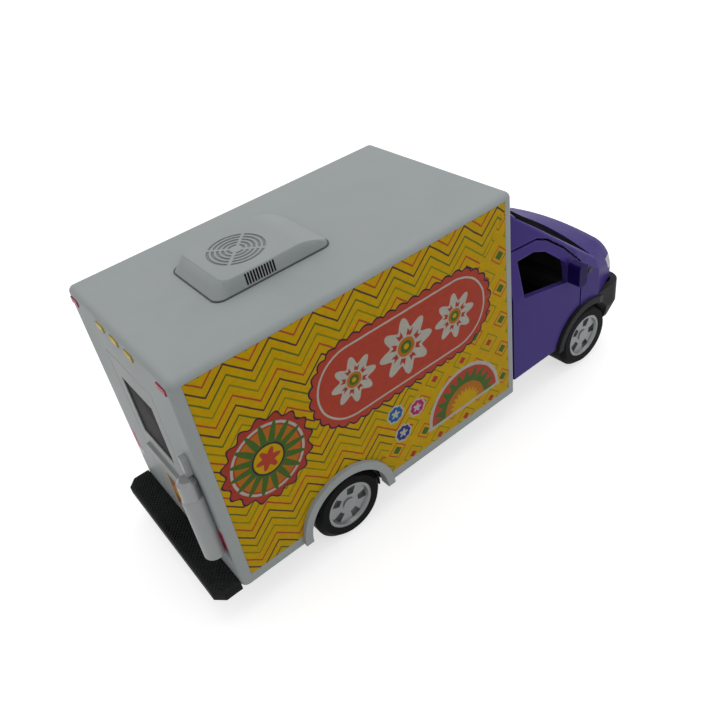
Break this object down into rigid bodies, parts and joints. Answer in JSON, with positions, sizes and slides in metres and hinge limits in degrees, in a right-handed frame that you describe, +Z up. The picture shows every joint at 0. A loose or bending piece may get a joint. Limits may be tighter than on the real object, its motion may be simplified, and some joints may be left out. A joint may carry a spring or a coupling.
{
  "type": "toy food truck",
  "caption": "Toy food truck: hollow box body with lifting serving flap, opening cab doors, roof unit, rear step with gas bottle, and wheels that roll freely.",
  "frame": {"origin": "on the ground, under the middle of the truck's bounding box", "axes": "+X towards the truck's front, +Y towards its left side, +Z up"},
  "size_m": [0.13, 0.0524, 0.0665],
  "materials": {
    "box_plastic": "satin moulded",
    "printed_panel": "printed, semi-gloss",
    "black_plastic": "matt moulded",
    "black_gloss": "gloss",
    "yellow_lamp": "gloss print",
    "red_lamp": "gloss print",
    "white_lamp": "gloss",
    "bottle_plastic": "satin moulded",
    "cab_paint": "gloss enamel",
    "steel": "bright drawn",
    "silver_plastic": "silver moulded",
    "tyre": "smooth soft plastic"
  },
  "bodies": {
    "truck": {"box_shell": "box_plastic", "roof_unit": "box_plastic", "rear_door": "box_plastic", "side_panel_right": "printed_panel", "side_panel_left": "printed_panel", "roof_unit_seal": "black_plastic", "serving_counter": "black_plastic", "box_floor": "black_plastic", "rear_window": "black_gloss", "windscreen": "black_gloss", "marker_lamps": "yellow_lamp", "clearance_lamps": "red_lamp", "tail_lamps": "red_lamp", "reverse_lamps": "white_lamp", "headlamps": "white_lamp", "side_repeaters": "black_gloss", "gas_bottle": "bottle_plastic", "bottle_valve": "bottle_plastic", "regulator": "bottle_plastic", "rear_step": "black_plastic", "chassis": "black_plastic", "motor_box": "black_plastic", "front_bumper": "black_plastic", "grille": "black_plastic", "cab_interior": "black_plastic", "seat_left": "black_plastic", "seat_right": "black_plastic", "steering_wheel": "black_plastic", "cab_shell": "cab_paint"},
    "front_wheels": {"axle_front": "steel", "rim_front_left": "silver_plastic", "tyre_front_left": "tyre", "rim_front_right": "silver_plastic", "tyre_front_right": "tyre"},
    "rear_wheels": {"axle_rear": "steel", "rim_rear_left": "silver_plastic", "tyre_rear_left": "tyre", "rim_rear_right": "silver_plastic", "tyre_rear_right": "tyre"},
    "left_door": {"door_left": "cab_paint"},
    "right_door": {"door_right": "cab_paint"},
    "hatch_flap": {"serving_flap": "printed_panel"}
  },
  "joints": [
    {"name": "front_wheels_roll", "type": "hinge", "parent": "truck", "child": "front_wheels", "pos_m": [0.0495, 0, 0.0088], "axis": [0, 1, 0], "continuous": true},
    {"name": "rear_wheels_roll", "type": "hinge", "parent": "truck", "child": "rear_wheels", "pos_m": [-0.0303, 0, 0.0088], "axis": [0, 1, 0], "continuous": true},
    {"name": "left_door_hinge", "type": "hinge", "parent": "truck", "child": "left_door", "pos_m": [0.0451, 0.02122, 0.025], "axis": [0, 0, -1], "range_deg": [0, 60]},
    {"name": "right_door_hinge", "type": "hinge", "parent": "truck", "child": "right_door", "pos_m": [0.0451, -0.02122, 0.025], "axis": [0, 0, 1], "range_deg": [0, 60]},
    {"name": "flap_hinge", "type": "hinge", "parent": "truck", "child": "hatch_flap", "pos_m": [-0.0105, 0.02205, 0.05165], "axis": [1, 0, 0], "range_deg": [0, 90]}
  ]
}
